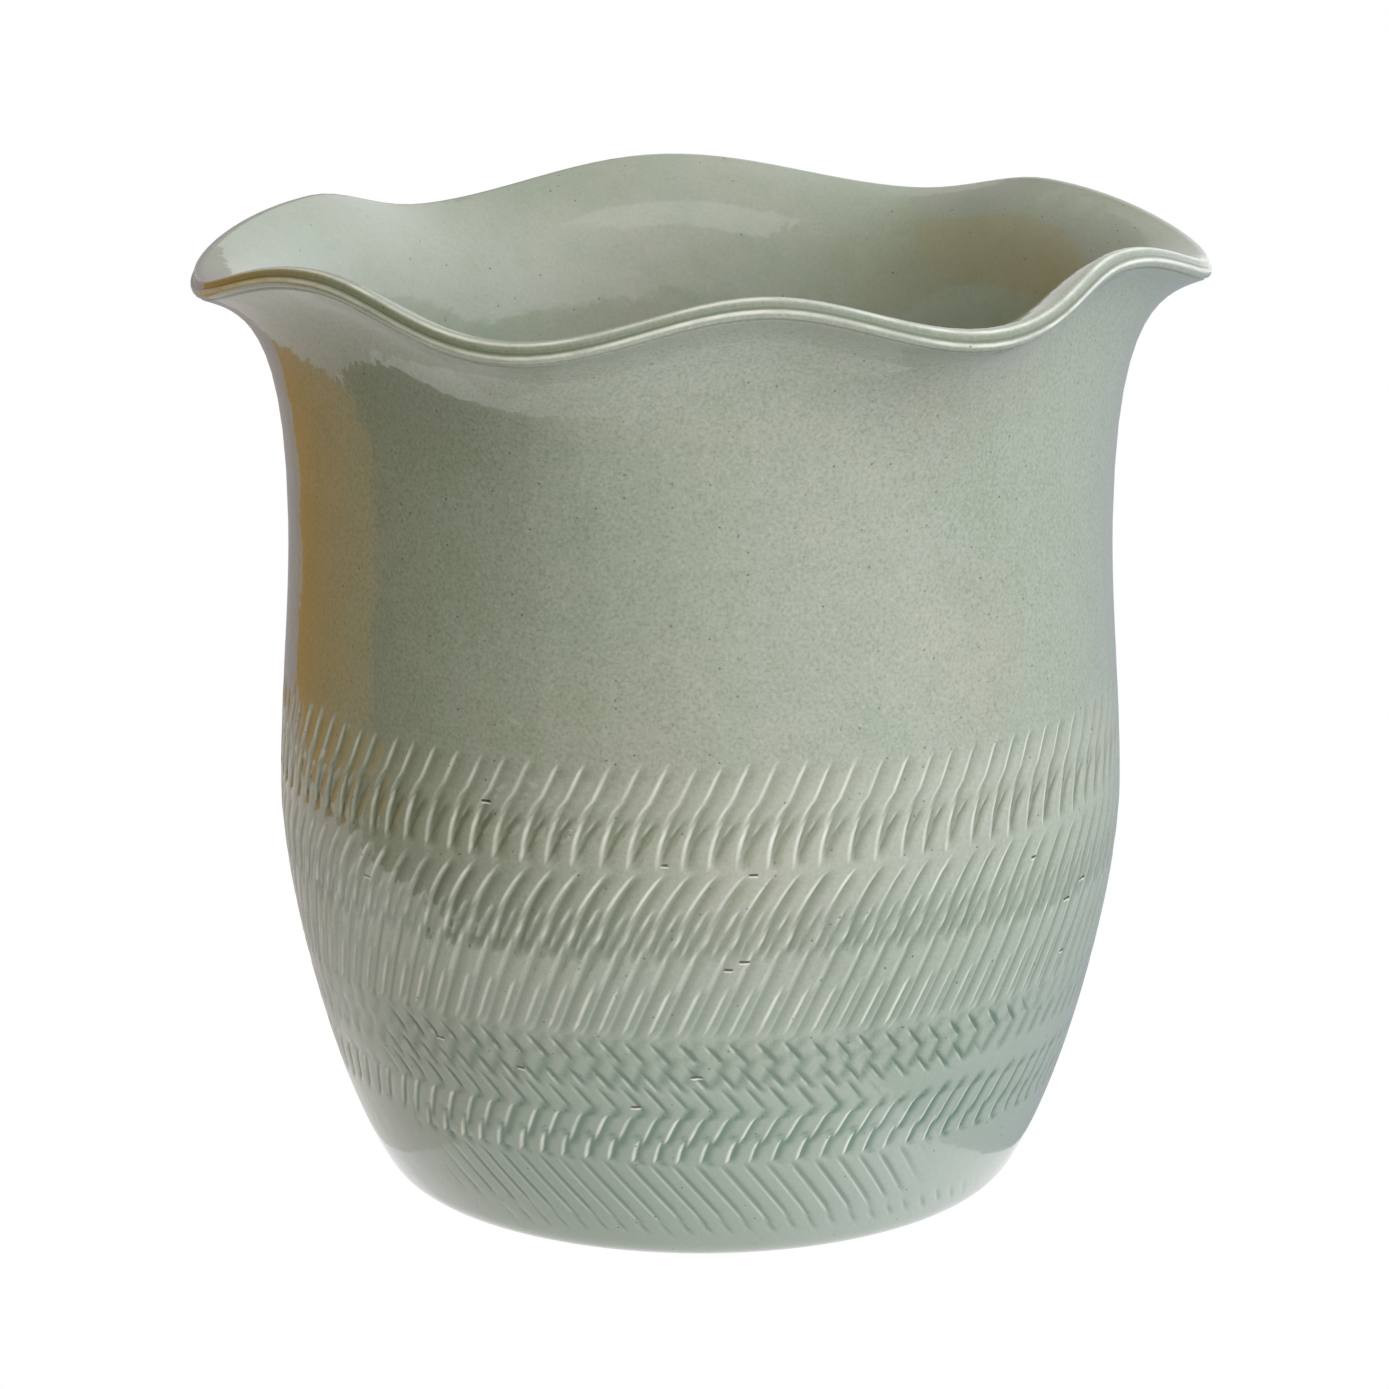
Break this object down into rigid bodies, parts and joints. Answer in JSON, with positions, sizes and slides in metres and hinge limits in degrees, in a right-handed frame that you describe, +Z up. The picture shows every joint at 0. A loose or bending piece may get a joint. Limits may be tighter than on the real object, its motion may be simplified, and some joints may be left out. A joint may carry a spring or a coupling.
{
  "type": "brush holder pot",
  "caption": "Round stoneware pot with a flared, waved rim and a tool-marked lower body, glazed all over but its foot ring, for standing brushes or pens in.",
  "frame": {"origin": "on the pot's axis, in the plane that the foot ring stands on", "axes": "+Z up along the pot's axis, -Y towards the side with the two tallest crests of the rim, +X to the right of it"},
  "size_m": [0.1427, 0.1402, 0.1407],
  "materials": {
    "bare_clay": "matte fired stoneware, unglazed",
    "celadon_glaze": "glossy translucent grey-green celadon, paler on arrises and greener where it pools"
  },
  "bodies": {
    "root": {"clay_body": "bare_clay", "glaze_coat": "celadon_glaze"}
  },
  "joints": []
}
